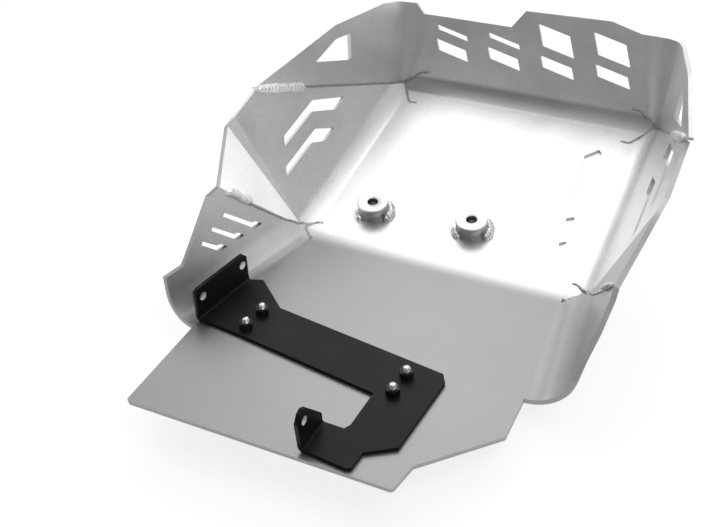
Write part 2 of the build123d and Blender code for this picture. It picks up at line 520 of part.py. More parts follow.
# Welded bosses
def boss(spot):
    ring = Cylinder(BOSS_OD / 2, BOSS_HEIGHT, align=(Align.CENTER, Align.CENTER, Align.MIN))
    ring -= Cylinder(BOSS_BORE / 2, 3 * BOSS_HEIGHT)
    return Pos(spot[0], REAR_Y + spot[1], INNER) * ring


bosses = [boss(BOSS_LEFT), boss(BOSS_RIGHT)]

# Weld beads round the bosses: a fillet in the corner of boss and floor
radius = BOSS_OD / 2
outline = [(radius, 0), (radius + BEAD_BOSS, 0), (radius, BEAD_BOSS)]
fillet_section = make_face(Polyline(*outline, close=True))
boss_beads = []
for x, ahead in (BOSS_LEFT, BOSS_RIGHT):
    for middle in (0, 180):
        bead = revolve(Plane.XZ * fillet_section, Axis.Z, BOSS_BEAD_SPAN)
        boss_beads.append(Pos(x, REAR_Y + ahead, INNER) * Rot(0, 0, middle - BOSS_BEAD_SPAN / 2) * bead)

# Weld beads on the seams: tapered bars laid in the corners, less the metal they sit on
wing_beads, flap_beads = [], []
sides = ((RIGHT_RIM, RIGHT_FLARE, RIGHT_FLAP_LEAN, False), (LEFT_RIM, LEFT_FLARE, LEFT_FLAP_LEAN, True))
for rim, flare, lean, flip in sides:
    corner = Vector(HALF, FRONT_Y, INNER)
    away = rim_point(rim).normalized()
    reach = rim_point(rim).length - BEAD_INSET
    bead = bar(corner + away * (reach - WING_BEAD_LENGTH), corner + away * reach, BEAD_WING)
    wing_beads.append((mirror(bead, about=Plane.YZ) if flip else bead) - plate)
    bend, along, across, up = flap_frame(flare, lean)
    high = along * FLAP_SEAM_TOP[0] + up * FLAP_SEAM_TOP[1]
    away = high.normalized()
    reach = high.length - BEAD_INSET
    bead = bar(bend + away * (reach - FLAP_BEAD_LENGTH), bend + away * reach, BEAD_FLAP)
    flap_beads.append((mirror(bead, about=Plane.YZ) if flip else bead) - plate)

nodes = {
    "skid_plate": plate,
    "boss_left": bosses[0],
    "boss_right": bosses[1],
    "boss_welds": Compound(children=boss_beads),
    "wing_seam_welds": Compound(children=wing_beads),
    "flap_seam_welds": Compound(children=flap_beads),
    "mounting_bracket": bracket,
    "bracket_screws": Compound(children=screws),
    "bracket_nuts": Compound(children=nuts),
}
for name, shape in nodes.items():
    export_step(shape, f"parts/{name}.step")
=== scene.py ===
import math

import bmesh
import bpy
import numpy as np
from bpy.props import FloatProperty, FloatVectorProperty, IntProperty, PointerProperty
from mathutils import Matrix, Vector
from mathutils.bvhtree import BVHTree


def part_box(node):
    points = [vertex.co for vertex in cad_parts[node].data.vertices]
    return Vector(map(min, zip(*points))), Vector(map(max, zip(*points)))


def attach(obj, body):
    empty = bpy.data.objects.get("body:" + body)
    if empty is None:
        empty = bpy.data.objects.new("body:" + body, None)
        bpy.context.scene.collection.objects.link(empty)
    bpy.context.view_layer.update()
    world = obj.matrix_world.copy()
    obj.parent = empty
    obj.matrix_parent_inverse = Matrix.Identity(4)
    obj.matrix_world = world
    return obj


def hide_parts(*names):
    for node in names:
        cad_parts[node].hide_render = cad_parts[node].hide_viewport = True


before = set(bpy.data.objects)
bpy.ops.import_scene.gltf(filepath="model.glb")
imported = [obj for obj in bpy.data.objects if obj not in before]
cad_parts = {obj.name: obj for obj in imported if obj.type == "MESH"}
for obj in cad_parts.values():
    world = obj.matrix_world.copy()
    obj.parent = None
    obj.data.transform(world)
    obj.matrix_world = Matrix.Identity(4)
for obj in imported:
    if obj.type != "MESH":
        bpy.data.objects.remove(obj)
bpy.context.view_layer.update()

bl_info = {
    "name": "Motorcycle Skid Plate",
    "version": (1, 0, 0),
    "blender": (4, 5, 0),
    "location": "View3D > Sidebar > Skid Plate",
    "description": "Dresses the folded aluminium skid plate: sheet, bosses, welds, bracket and fasteners",
    "category": "Object",
}

# Corners of the tub's floor: half its width, half its length and the sheet's thickness
HALF_WIDTH, HALF_LENGTH, SHEET = 0.130, 0.116, 0.004

# Slits at a floor corner, as steps inward, forward and up from the corner to each of a slit's points
FRONT_SLITS = (((0.019, -0.030, 0.0), (0.029, -0.029, 0.0)),
               ((0.018, 0.0065, 0.0115), (0.028, 0.0075, 0.013)))
REAR_SLITS = (((0.0124, 0.010, 0.0), (0.018, 0.0095, 0.0)),
              ((0.0175, -0.0160, 0.0024),))

# How a line is laid onto the sheet: from a point over the floor, in steps, where the sheet is near enough
LAY_EYE = Vector((0.0, 0.0, 0.14))
LAY_STEP, LAY_REACH, LEAST_STEP, NEIGHBOURS = 0.0015, 0.02, 0.0004, 2

# Shape of a weld bead, with lengths as shares of its half width
BEAD_SIDES, SLIT_BEAD_SIDES, RIPPLE_RINGS, LEAST_RINGS = 20, 10, 8, 12
CRESCENT_LEAD, CREST_POWER, CROWN_HEIGHT = 0.55, 0.7, 0.82
END_LENGTH, END_SIZE = 1.3, 0.12

# Slow swings of a bead's width: size, start as a multiple of the seed, and rate for each ripple
BEAD_SWINGS = ((0.10, 1, 0.9), (0.06, 2, 2.3))

# Beads at a boss's foot: middle angle and span in degrees, and share of the usual width
BOSS_BEADS = ((18, 96, 1.12), (218, 56, 0.85))
BOSS_BEAD_LIFT, BOSS_BEAD_STEPS = 0.35, 16

# Seam beads: share of the usual ripple length, depth of the ripples, and share of bare metal
WING_RIPPLES, FLAP_RIPPLES = (1.7, 0.42, 0.2), (1.3, 0.20, 0.3)
SEAM_BEAD_LIFT, SEAM_BEAD_STEPS = 0.4, 12

# Slit beads: share of the usual ripple length, depth of the ripples, and gap to the sides in half widths
SLIT_RIPPLE, SLIT_DEPTH, SLIT_GAP = 0.8, 0.35, 1.6

# Bosses: facets, steps over the shoulder, the bore's broken edge as steps out and down, and the reach of
# the painted shade in the bore
BOSS_SIDES, SHOULDER_STEPS = 72, 8
BORE_LIP = ((0.0, 0.0005), (0.0002, 0.0003), (0.0006, 0.0))
BORE_SHADE = 0.0003

# Screws: rings in a turn, groove in pitches, the tip's chamfer and slope, and the share that holds the head
THREAD_RINGS, GROOVE, TIP_CHAMFER, TIP_SLOPE, PAST_HEAD = 8, 0.5, 0.0009, 0.9, 0.4

# Rings that are holes in the bracket's tab and ear: fewest vertices, slack, largest radius, part across
RING_VERTICES, RING_SLACK, RING_LIMIT, RING_ACROSS = 12, 1e-5, 0.006, 0.5

# Painted highlight on the walls of those holes: where it begins and is full, past the radius
HOLE_HIGHLIGHT_EDGE = (0.0003, 0.0001)

# Masks of the painted light and shade on the sheet, and of the left bend's added roughness: where each
# begins and is full, by a part of the face's normal or by its place
REAR_SHADE_UP, FLAP_UP, FACET_MATCH = (0.80, 0.95), (0.97, 0.85), (0.985, 0.996)
RIGHT_ACROSS, RIGHT_ALONG, RIGHT_PLACE = (-0.75, -0.88), (-0.15, -0.05), (0.0, 0.05)
LEFT_UP, LEFT_PLACE, LEFT_CURVE, LEFT_FRONT = (0.50, 0.70), (-0.06, -0.11), (0.995, 0.95), (0.05, 0.11)
BEND_FOOT, BEND_TOP, BEND_ASIDE = (-0.03, -0.20), (-0.84, -0.70), (0.35, 0.10)
ROLL_ALONG, ROLL_ASIDE, ROLL_UP = (-0.05, -0.50), (0.04, 0.45), (0.85, 0.60)

# Share of the rear panel's painted shade fade that lies ahead of the bend
FADE_AHEAD = 0.2

# Normal of the bosses' walls: where their painted shade begins and is full
WALL_SHADE_UP = (0.30, 0.0)

# Floor of the studio: half its width, and the gap that keeps it clear of the plate
STAGE_REACH, STAGE_GAP = 12, 0.0005

# Lamps of the studio: places, sizes, aims, the spot's cone in degrees and where the bright side begins
SOFTBOX_PLACE, SOFTBOX_SIZE = (-0.45, 1.12, 1.05), (1.0, 0.8)
FILL_PLACE, FILL_SIZE = (0.55, -0.25, 1.0), (0.6, 0.5)
PLATE_AIM = (0.0, -0.05, 0.03)
KICKER_PLACE, KICKER_AIM, KICKER_CONE = (0.34, -0.67, 0.85), (-0.168, -0.138, 0.078), 11
BRIGHT_SIDE, BRIGHT_EDGE = (-0.3, 0.70, 0.65), (0.55, 0.97)

# Directions to the right and upward in the camera's picture
CAMERA_RIGHT = Vector((0.9041, 0.41644, -0.09585))
CAMERA_UP = Vector((-0.22983, 0.66297, 0.71249))


# Settings

class SheetSettings(bpy.types.PropertyGroup):
    """Finish of the folded aluminium sheet and the turned bosses, with painted light and shade on both."""
    tone: FloatVectorProperty(
        name="Aluminium", description="Colour of the bare aluminium",
        subtype="COLOR", size=3, min=0, max=1, default=(0.86, 0.86, 0.85))
    # Painted shade: the rear panel behind the rear bend is coloured darker than the rest of the sheet
    rear_shade_tone: FloatVectorProperty(
        name="Rear panel", description="Colour of the duller sheet behind the rear bend",
        subtype="COLOR", size=3, min=0, max=1, default=(0.31, 0.31, 0.307))
    # Painted highlight: the right wall and the left bend are coloured paler than the sheet
    pale_highlight_tone: FloatVectorProperty(
        name="Pale tone", description="Colour of the right wall and the left bend",
        subtype="COLOR", size=3, min=0, max=1, default=(0.99, 0.99, 0.985))
    # Painted shade: the front bend is coloured darker than the sheet
    front_bend_shade_tone: FloatVectorProperty(
        name="Front bend", description="Colour of the stretched sheet in the front bend",
        subtype="COLOR", size=3, min=0, max=1, default=(0.47, 0.47, 0.465))
    # Painted shade: the rolled front corners are coloured darker than the sheet
    roll_shade_tone: FloatVectorProperty(
        name="Roll tone", description="Colour of the rolled front corners",
        subtype="COLOR", size=3, min=0, max=1, default=(0.62, 0.62, 0.613))
    roll_matte: FloatProperty(
        name="Roll matte", description="How matte the rolled front corners are",
        subtype="FACTOR", min=0, max=1, default=0.6)
    # Painted shade: the flaps and their bends are coloured darker than the sheet
    flap_shade_tone: FloatVectorProperty(
        name="Flap tone", description="Colour of the matte flaps and their bends",
        subtype="COLOR", size=3, min=0, max=1, default=(0.58, 0.58, 0.572))
    flap_matte: FloatProperty(
        name="Flap matte", description="How matte the flaps are",
        subtype="FACTOR", min=0, max=1, default=0.7)
    # Painted highlight: the facet on the left is coloured near white
    facet_highlight_tone: FloatVectorProperty(
        name="Facet tone", description="Colour of the linished facet on the left",
        subtype="COLOR", size=3, min=0, max=1, default=(0.97, 0.965, 0.955))
    facet_face: FloatVectorProperty(
        name="Facet facing", description="Direction that the facet on the left faces",
        subtype="DIRECTION", size=3, default=(0.885, 0.222, 0.41))
    roughness: FloatProperty(
        name="Roughness", description="Blur of the sheet's reflections",
        subtype="FACTOR", min=0, max=1, default=0.45)
    left_rough: FloatProperty(
        name="Left bend roughness", description="Roughness that the left bend adds",
        subtype="FACTOR", min=0, max=0.5, default=0.16)
    grain: FloatProperty(
        name="Grain", description="Strength of the rolling grain",
        subtype="FACTOR", min=0, max=1, default=0.10)
    rear_bend: FloatProperty(
        name="Rear bend", description="Place of the rear bend along the plate",
        unit="LENGTH", default=-HALF_LENGTH)
    # Painted light and shade: bend blur and fade set where the painted colours behind the rear bend change
    # and how the rear panel's painted shade sets in
    bend_blur: FloatProperty(
        name="Bend blur", description="Width over which the finish changes at the rear bend",
        unit="LENGTH", min=0.0005, default=0.006)
    fade: FloatProperty(
        name="Fade", description="Length over which the rear panel's finish sets in",
        unit="LENGTH", min=0.001, default=0.024)
    # Painted shade: the bosses' walls are coloured darker than their tops
    boss_wall_shade: FloatVectorProperty(
        name="Boss wall", description="Colour of the bosses' heat-dulled walls",
        subtype="COLOR", size=3, min=0, max=1, default=(0.46, 0.46, 0.455))
    # Painted shade: the inside of the bosses' bores is coloured dark
    bore_shade_tone: FloatVectorProperty(
        name="Bore", description="Colour inside the bosses' bores",
        subtype="COLOR", size=3, min=0, max=1, default=(0.20, 0.20, 0.20))
    shoulder: FloatProperty(
        name="Boss shoulder", description="Rounding of a boss's upper edge",
        unit="LENGTH", min=0.0002, default=0.0014)


class WeldSettings(bpy.types.PropertyGroup):
    """Sizes and colours of the weld beads."""
    tone: FloatVectorProperty(
        name="Bead", description="Colour of the weld metal",
        subtype="COLOR", size=3, min=0, max=1, default=(0.90, 0.90, 0.89))
    soot: FloatVectorProperty(
        name="Soot", description="Colour between the ripples",
        subtype="COLOR", size=3, min=0, max=1, default=(0.20, 0.19, 0.18))
    ripple: FloatProperty(
        name="Ripple", description="Distance between two ripples of a bead",
        unit="LENGTH", min=0.0005, default=0.0026)
    depth: FloatProperty(
        name="Ripple depth", description="Depth of the ripples as a share of the bead",
        subtype="FACTOR", min=0, max=1, default=0.22)
    boss_width: FloatProperty(
        name="Boss bead", description="Half width of a bead at a boss's foot",
        unit="LENGTH", min=0.0005, default=0.0042)
    wing_width: FloatProperty(
        name="Wing seam", description="Half width of the beads on the wing seams",
        unit="LENGTH", min=0.0005, default=0.0040)
    overrun: FloatProperty(
        name="Wing overrun", description="How far the wing beads run over the rim",
        unit="LENGTH", min=0, default=0.005)
    flap_width: FloatProperty(
        name="Flap seam", description="Half width of the beads on the flap seams",
        unit="LENGTH", min=0.0005, default=0.0042)
    right_share: FloatProperty(
        name="Right flap seam", description="Share of that width on the right-hand flap",
        subtype="FACTOR", min=0.1, max=1, default=0.6)
    flap_soot: FloatVectorProperty(
        name="Flap soot", description="Colour between the ripples of the flap seams",
        subtype="COLOR", size=3, min=0, max=1, default=(0.55, 0.55, 0.54))
    seam_width: FloatProperty(
        name="Corner seam", description="Half width of the thin beads in the corner slits",
        unit="LENGTH", min=0.0002, default=0.0013)
    # Painted shade: the corner seam beads are coloured dark grey, and near black between ripples here and
    # on the wing seams, for the shade in the slits
    slit_bead_shade_tone: FloatVectorProperty(
        name="Corner seam tone", description="Colour of the beads in the corner slits",
        subtype="COLOR", size=3, min=0, max=1, default=(0.50, 0.50, 0.49))
    seam_shade: FloatVectorProperty(
        name="Corner soot", description="Colour of the soot in the corner slits and the wing seams",
        subtype="COLOR", size=3, min=0, max=1, default=(0.05, 0.05, 0.048))


class BlackSettings(bpy.types.PropertyGroup):
    """Finish of the bracket and the fasteners."""
    paint: FloatVectorProperty(
        name="Black", description="Colour of the bracket's powder coat",
        subtype="COLOR", size=3, min=0, max=1, default=(0.010, 0.010, 0.0105))
    edge: FloatProperty(
        name="Edge", description="Rounding of the bracket's edges",
        unit="LENGTH", min=0, default=0.0004)
    # Painted highlight: the walls of the holes in tab and ear are coloured pale
    hole_highlight_tone: FloatVectorProperty(
        name="Bare steel", description="Colour of the bare walls of the holes in tab and ear",
        subtype="COLOR", size=3, min=0, max=1, default=(0.75, 0.75, 0.74))
    nut: FloatVectorProperty(
        name="Nut", description="Colour of the blackened nuts",
        subtype="COLOR", size=3, min=0, max=1, default=(0.012, 0.012, 0.013))
    nut_edge: FloatProperty(
        name="Nut edge", description="Rounding of the nuts' edges",
        unit="LENGTH", min=0, default=0.00025)
    zinc: FloatVectorProperty(
        name="Zinc", description="Colour of the plated screws",
        subtype="COLOR", size=3, min=0, max=1, default=(0.80, 0.80, 0.81))
    thread: FloatProperty(
        name="Thread", description="Pitch of the screws' thread",
        unit="LENGTH", min=0.0002, default=0.001)
    turns: IntProperty(
        name="Facets", description="Facets round a thread",
        min=12, max=96, default=36)


class StageSettings(bpy.types.PropertyGroup):
    """Light, floor and camera."""
    white: FloatVectorProperty(
        name="Floor", description="Colour of the studio floor",
        subtype="COLOR", size=3, min=0, max=1, default=(0.36, 0.36, 0.36))
    glow: FloatProperty(
        name="Floor glow", description="Light that the floor adds of its own",
        min=0, default=0.80)
    bright: FloatProperty(
        name="Bright side", description="Level of the studio's bright side",
        min=0, default=1.40)
    dark: FloatProperty(
        name="Dark side", description="Level of the studio's dark side",
        min=0, default=0.28)
    lamp: FloatProperty(
        name="Softbox", description="Power of the softbox",
        unit="POWER", min=0, default=4.0)
    fill: FloatProperty(
        name="Fill", description="Power of the fill light",
        unit="POWER", min=0, default=2.5)
    kicker: FloatProperty(
        name="Kicker", description="Power of the spot on the left-hand facet",
        unit="POWER", min=0, default=30.0)
    lens: FloatProperty(
        name="Lens", description="Focal length of the camera",
        unit="CAMERA", min=10, default=52.0)
    place: FloatVectorProperty(
        name="Camera", description="Place of the camera",
        subtype="TRANSLATION", unit="LENGTH", size=3, default=(0.2594, -0.6955, 0.6219))


# Node helpers

def link(tree, source, target):
    """Links an output socket to an input socket."""
    tree.links.new(source, target)


def feed(tree, value, target):
    """Links a socket to the target, or sets a constant on it."""
    if isinstance(value, bpy.types.NodeSocket):
        link(tree, value, target)
    else:
        target.default_value = value


def node(tree, kind, **values):
    """New node with its options set."""
    made = tree.nodes.new(kind)
    for key, value in values.items():
        setattr(made, key, value)
    return made


def new_group(name, inputs, outputs):
    """Empty shader group with named sockets."""
    group = bpy.data.node_groups.new(name, "ShaderNodeTree")
    for label, kind, default in inputs:
        socket = group.interface.new_socket(label, in_out="INPUT", socket_type=kind)
        socket.default_value = default
    for label, kind in outputs:
        group.interface.new_socket(label, in_out="OUTPUT", socket_type=kind)
    return group, node(group, "NodeGroupInput"), node(group, "NodeGroupOutput")


def placed_group(tree, group, **values):
    """Shader group placed in a tree, with its inputs set."""
    made = node(tree, "ShaderNodeGroup", node_tree=group)
    for label, value in values.items():
        made.inputs[label].default_value = value
    return made


def stretched(tree, scale=(1.0, 1.0, 1.0)):
    """Object coordinates, stretched."""
    made = node(tree, "ShaderNodeMapping")
    made.inputs["Scale"].default_value = scale
    link(tree, node(tree, "ShaderNodeTexCoord").outputs["Object"], made.inputs["Vector"])
    return made.outputs["Vector"]


def split(tree, vector):
    """Sockets of a vector's parts."""
    made = node(tree, "ShaderNodeSeparateXYZ")
    link(tree, vector, made.inputs["Vector"])
    return made.outputs


def noise(tree, vector, scale, detail=3.0, rough=0.55):
    """Noise, with a number or a socket as its scale."""
    made = node(tree, "ShaderNodeTexNoise")
    made.inputs["Detail"].default_value = detail
    made.inputs["Roughness"].default_value = rough
    feed(tree, scale, made.inputs["Scale"])
    link(tree, vector, made.inputs["Vector"])
    return made.outputs["Fac"]


def remap(tree, value, low, high, to_low, to_high, smooth=False):
    """Value moved from one range to another, and kept within it."""
    made = node(tree, "ShaderNodeMapRange")
    made.interpolation_type = "SMOOTHSTEP" if smooth else "LINEAR"
    for label, number in (("From Min", low), ("From Max", high), ("To Min", to_low), ("To Max", to_high)):
        made.inputs[label].default_value = number
    link(tree, value, made.inputs["Value"])
    return made.outputs["Result"]


def ramp(tree, value, begin, full):
    """Soft mask that is 0 where it begins and 1 where it is full."""
    return remap(tree, value, begin, full, 0.0, 1.0, True)


def math_node(tree, operation, *values):
    """Result of an operation on numbers or sockets."""
    made = node(tree, "ShaderNodeMath", operation=operation)
    for value, target in zip(values, made.inputs):
        feed(tree, value, target)
    return made.outputs[0]


def product(tree, first, *others):
    """Product of masks and numbers."""
    for other in others:
        first = math_node(tree, "MULTIPLY", first, other)
    return first


def vector_math(tree, operation, *values):
    """Result of an operation on vectors or sockets."""
    made = node(tree, "ShaderNodeVectorMath", operation=operation)
    for value, target in zip(values, made.inputs):
        feed(tree, value, target)
    return made.outputs["Value" if operation in ("DOT_PRODUCT", "LENGTH") else "Vector"]


def mixed(tree, factor, first, second):
    """Colour mix of a factor socket and two colours or sockets."""
    made = node(tree, "ShaderNodeMix", data_type="RGBA")
    link(tree, factor, made.inputs[0])
    for index, colour in ((6, first), (7, second)):
        feed(tree, colour if isinstance(colour, bpy.types.NodeSocket) else (*colour, 1), made.inputs[index])
    return made.outputs[2]


def rolling_grain():
    """Fine streaks along the rolling direction with soft blotches and handling marks."""
    found = bpy.data.node_groups.get("Rolling grain")
    if found:
        return found
    group, source, target = new_group(
        "Rolling grain",
        [("Strength", "NodeSocketFloat", 0.1), ("Roughness", "NodeSocketFloat", 0.35)],
        [("Tone", "NodeSocketFloat"), ("Roughness", "NodeSocketFloat"), ("Height", "NodeSocketFloat")])
    streaks = noise(group, stretched(group, (1.0, 0.05, 1.0)), scale=1500, detail=2.0)
    blotches = noise(group, stretched(group), scale=26, detail=4.0, rough=0.6)
    speckle = noise(group, stretched(group, (1.0, 0.6, 1.0)), scale=620, detail=2.0, rough=0.7)
    both = math_node(group, "ADD", remap(group, streaks, 0.3, 0.7, -0.5, 0.5),
                     remap(group, blotches, 0.3, 0.7, -0.55, 0.55))
    both = math_node(group, "ADD", both, remap(group, speckle, 0.35, 0.65, -0.35, 0.35))
    swing = product(group, both, source.outputs["Strength"])
    link(group, math_node(group, "ADD", swing, 1.0), target.inputs["Tone"])
    link(group, math_node(group, "ADD", product(group, swing, 0.5), source.outputs["Roughness"]),
         target.inputs["Roughness"])
    link(group, streaks, target.inputs["Height"])
    return group


def powder_coat():
    """Orange-peel surface of powder coat with faint dust."""
    found = bpy.data.node_groups.get("Powder coat")
    if found:
        return found
    group, source, target = new_group(
        "Powder coat",
        [("Scale", "NodeSocketFloat", 900.0), ("Roughness", "NodeSocketFloat", 0.4)],
        [("Dust", "NodeSocketFloat"), ("Roughness", "NodeSocketFloat"), ("Height", "NodeSocketFloat")])
    place = stretched(group)
    peel = noise(group, place, scale=source.outputs["Scale"], detail=2.0, rough=0.5)
    cloud = noise(group, place, scale=30)
    link(group, remap(group, cloud, 0.35, 0.7, 0.0, 1.0), target.inputs["Dust"])
    wander = remap(group, cloud, 0.3, 0.7, -0.06, 0.06)
    link(group, math_node(group, "ADD", wander, source.outputs["Roughness"]), target.inputs["Roughness"])
    link(group, peel, target.inputs["Height"])
    return group


def new_material(name):
    """Material with a Principled shader and nothing linked yet."""
    material = bpy.data.materials.new(name)
    material.use_nodes = True
    return material, material.node_tree, material.node_tree.nodes["Principled BSDF"]


def toned(tree, shader, colour, grain):
    """Gives the shader a colour that swings with the grain."""
    made = node(tree, "ShaderNodeVectorMath", operation="SCALE")
    feed(tree, colour, made.inputs[0])
    link(tree, grain.outputs["Tone"], made.inputs["Scale"])
    link(tree, made.outputs["Vector"], shader.inputs["Base Color"])


def bump(tree, shader, height, strength, distance):
    """Roughens the shader's surface by a height."""
    made = node(tree, "ShaderNodeBump")
    made.inputs["Strength"].default_value = strength
    made.inputs["Distance"].default_value = distance
    link(tree, height, made.inputs["Height"])
    link(tree, made.outputs["Normal"], shader.inputs["Normal"])


# Materials

def sheet_masks(tree, settings):
    """Masks of the painted light and shade on the sheet, and of the left bend's added roughness, by the way
    a face looks and where it lies.
    """
    place = split(tree, node(tree, "ShaderNodeTexCoord").outputs["Object"])
    normal = node(tree, "ShaderNodeNewGeometry").outputs["Normal"]
    across, along, up = split(tree, normal)
    aside = math_node(tree, "ABSOLUTE", across)
    line, blur, fade = settings.rear_bend, settings.bend_blur, settings.fade
    behind = ramp(tree, place["Y"], line + blur / 2, line - blur / 2)
    rear_shade_fade = ramp(tree, place["Y"], line + fade * FADE_AHEAD, line - fade * (1 - FADE_AHEAD))
    left = product(tree, ramp(tree, place["X"], *LEFT_PLACE), ramp(tree, up, *LEFT_UP),
                   math_node(tree, "SUBTRACT", 1.0, behind))
    right = product(tree, ramp(tree, across, *RIGHT_ACROSS), ramp(tree, along, *RIGHT_ALONG),
                    ramp(tree, place["X"], *RIGHT_PLACE))
    curved = math_node(tree, "MAXIMUM", ramp(tree, up, *LEFT_CURVE), ramp(tree, place["Y"], *LEFT_FRONT))
    match = vector_math(tree, "DOT_PRODUCT", normal, settings.facet_face)
    return {
        # Painted shade: darker rear panel behind the rear bend
        "rear": product(tree, rear_shade_fade, ramp(tree, up, *REAR_SHADE_UP)),
        # Painted highlight: paler right wall and left bend
        "pale": math_node(tree, "MAXIMUM", left, right),
        "left bend": product(tree, left, curved),
        # Painted shade: darker flaps
        "flap": product(tree, behind, ramp(tree, up, *FLAP_UP)),
        # Painted shade: darker front bend
        "front bend": product(tree, ramp(tree, along, *BEND_FOOT), ramp(tree, along, *BEND_TOP),
                              ramp(tree, aside, *BEND_ASIDE)),
        # Painted shade: darker rolled front corners
        "roll": product(tree, ramp(tree, along, *ROLL_ALONG), ramp(tree, aside, *ROLL_ASIDE),
                        ramp(tree, up, *ROLL_UP)),
        # Painted highlight: near-white left facet
        "facet": product(tree, ramp(tree, match, *FACET_MATCH), behind),
    }


def sheet_material(settings):
    """Mill-finish aluminium with painted shade on its rear panel, front bend, rolls and flaps, and painted
    highlights on its right wall, left bend and left facet.
    """
    material, tree, shader = new_material("Aluminium sheet")
    grain = placed_group(tree, rolling_grain(), Strength=settings.grain, Roughness=settings.roughness)
    masks = sheet_masks(tree, settings)
    # Paints the shade and highlights of the panels over the aluminium's colour
    base = settings.tone
    for name, tone in (("rear", settings.rear_shade_tone), ("pale", settings.pale_highlight_tone),
                       ("flap", settings.flap_shade_tone), ("front bend", settings.front_bend_shade_tone),
                       ("roll", settings.roll_shade_tone), ("facet", settings.facet_highlight_tone)):
        base = mixed(tree, masks[name], base, tone)
    toned(tree, shader, base, grain)
    matte = masks["facet"]
    for name, share in (("flap", settings.flap_matte), ("roll", settings.roll_matte)):
        matte = math_node(tree, "MAXIMUM", matte, product(tree, masks[name], share))
    link(tree, math_node(tree, "SUBTRACT", 1.0, matte), shader.inputs["Metallic"])
    rougher = product(tree, masks["left bend"], settings.left_rough)
    link(tree, math_node(tree, "ADD", grain.outputs["Roughness"], rougher), shader.inputs["Roughness"])
    bump(tree, shader, grain.outputs["Height"], strength=0.10, distance=0.0001)
    return material


def boss_material(settings):
    """Turned aluminium, with painted shade on the walls and in the bores."""
    material, tree, shader = new_material("Turned aluminium")
    shader.inputs["Metallic"].default_value = 1.0
    grain = placed_group(tree, rolling_grain(), Strength=0.08, Roughness=settings.roughness)
    rings = node(tree, "ShaderNodeTexWave", wave_type="BANDS", bands_direction="Z")
    rings.inputs["Scale"].default_value = 700
    rings.inputs["Distortion"].default_value = 0.6
    link(tree, node(tree, "ShaderNodeTexCoord").outputs["Object"], rings.inputs["Vector"])
    up = split(tree, node(tree, "ShaderNodeNewGeometry").outputs["Normal"])["Z"]
    # Painted shade on the walls, which face sideways
    shaded_wall = mixed(tree, ramp(tree, up, *WALL_SHADE_UP), settings.tone, settings.boss_wall_shade)
    # Painted shade inside the bores, marked by the bore attribute
    bore = node(tree, "ShaderNodeAttribute", attribute_name="bore").outputs["Fac"]
    toned(tree, shader, mixed(tree, bore, shaded_wall, settings.bore_shade_tone), grain)
    link(tree, grain.outputs["Roughness"], shader.inputs["Roughness"])
    bump(tree, shader, rings.outputs["Fac"], strength=0.08, distance=0.00015)
    return material


def weld_material(name, tone, soot, metallic=1.0):
    """Rippled weld metal with soot in its valleys."""
    material, tree, shader = new_material(name)
    shader.inputs["Metallic"].default_value = metallic
    height = node(tree, "ShaderNodeAttribute", attribute_name="ripple").outputs["Fac"]
    spots = noise(tree, stretched(tree), scale=420, rough=0.65)
    valley = math_node(tree, "ADD", height, remap(tree, spots, 0.3, 0.7, -0.3, 0.3))
    link(tree, mixed(tree, ramp(tree, valley, 0.02, 0.5), soot, tone), shader.inputs["Base Color"])
    link(tree, remap(tree, spots, 0.3, 0.7, 0.24, 0.42), shader.inputs["Roughness"])
    bump(tree, shader, spots, strength=0.35, distance=0.0004)
    return material


def hole_highlight_mask(tree):
    """Mask of the painted highlight on the walls of the holes in the bracket's tab and ear."""
    place = node(tree, "ShaderNodeTexCoord").outputs["Object"]
    gaps = []
    for centre, axis, radius in upright_holes():
        offset = vector_math(tree, "SUBTRACT", place, centre)
        away = vector_math(tree, "LENGTH", vector_math(tree, "CROSS_PRODUCT", offset, axis))
        gaps.append(math_node(tree, "SUBTRACT", away, radius))
    nearest = gaps[0]
    for gap in gaps[1:]:
        nearest = math_node(tree, "MINIMUM", nearest, gap)
    return ramp(tree, nearest, *HOLE_HIGHLIGHT_EDGE)


def bracket_material(settings):
    """Satin black powder coat, with a painted highlight on the walls of its holes."""
    material, tree, shader = new_material("Black powder coat")
    coat = placed_group(tree, powder_coat(), Scale=850.0, Roughness=0.42)
    coated = mixed(tree, coat.outputs["Dust"], settings.paint, [c * 1.5 for c in settings.paint])
    # Painted highlight on the walls of the holes
    hole_highlighted = mixed(tree, hole_highlight_mask(tree), coated, settings.hole_highlight_tone)
    link(tree, hole_highlighted, shader.inputs["Base Color"])
    link(tree, coat.outputs["Roughness"], shader.inputs["Roughness"])
    shader.inputs["Specular IOR Level"].default_value = 0.13
    bump(tree, shader, coat.outputs["Height"], strength=0.12, distance=0.0002)
    return material


def nut_material(settings):
    """Blackened steel."""
    material, tree, shader = new_material("Blackened steel")
    coat = placed_group(tree, powder_coat(), Scale=1600.0, Roughness=0.32)
    coated = mixed(tree, coat.outputs["Dust"], settings.nut, [c * 2 for c in settings.nut])
    link(tree, coated, shader.inputs["Base Color"])
    link(tree, coat.outputs["Roughness"], shader.inputs["Roughness"])
    shader.inputs["Specular IOR Level"].default_value = 0.2
    bump(tree, shader, coat.outputs["Height"], strength=0.10, distance=0.0001)
    return material


def screw_material(settings):
    """Bright zinc plate."""
    material, tree, shader = new_material("Bright zinc")
    shader.inputs["Metallic"].default_value = 1.0
    grain = placed_group(tree, rolling_grain(), Strength=0.12, Roughness=0.26)
    toned(tree, shader, settings.zinc, grain)
    link(tree, grain.outputs["Roughness"], shader.inputs["Roughness"])
    return material


# Mesh helpers

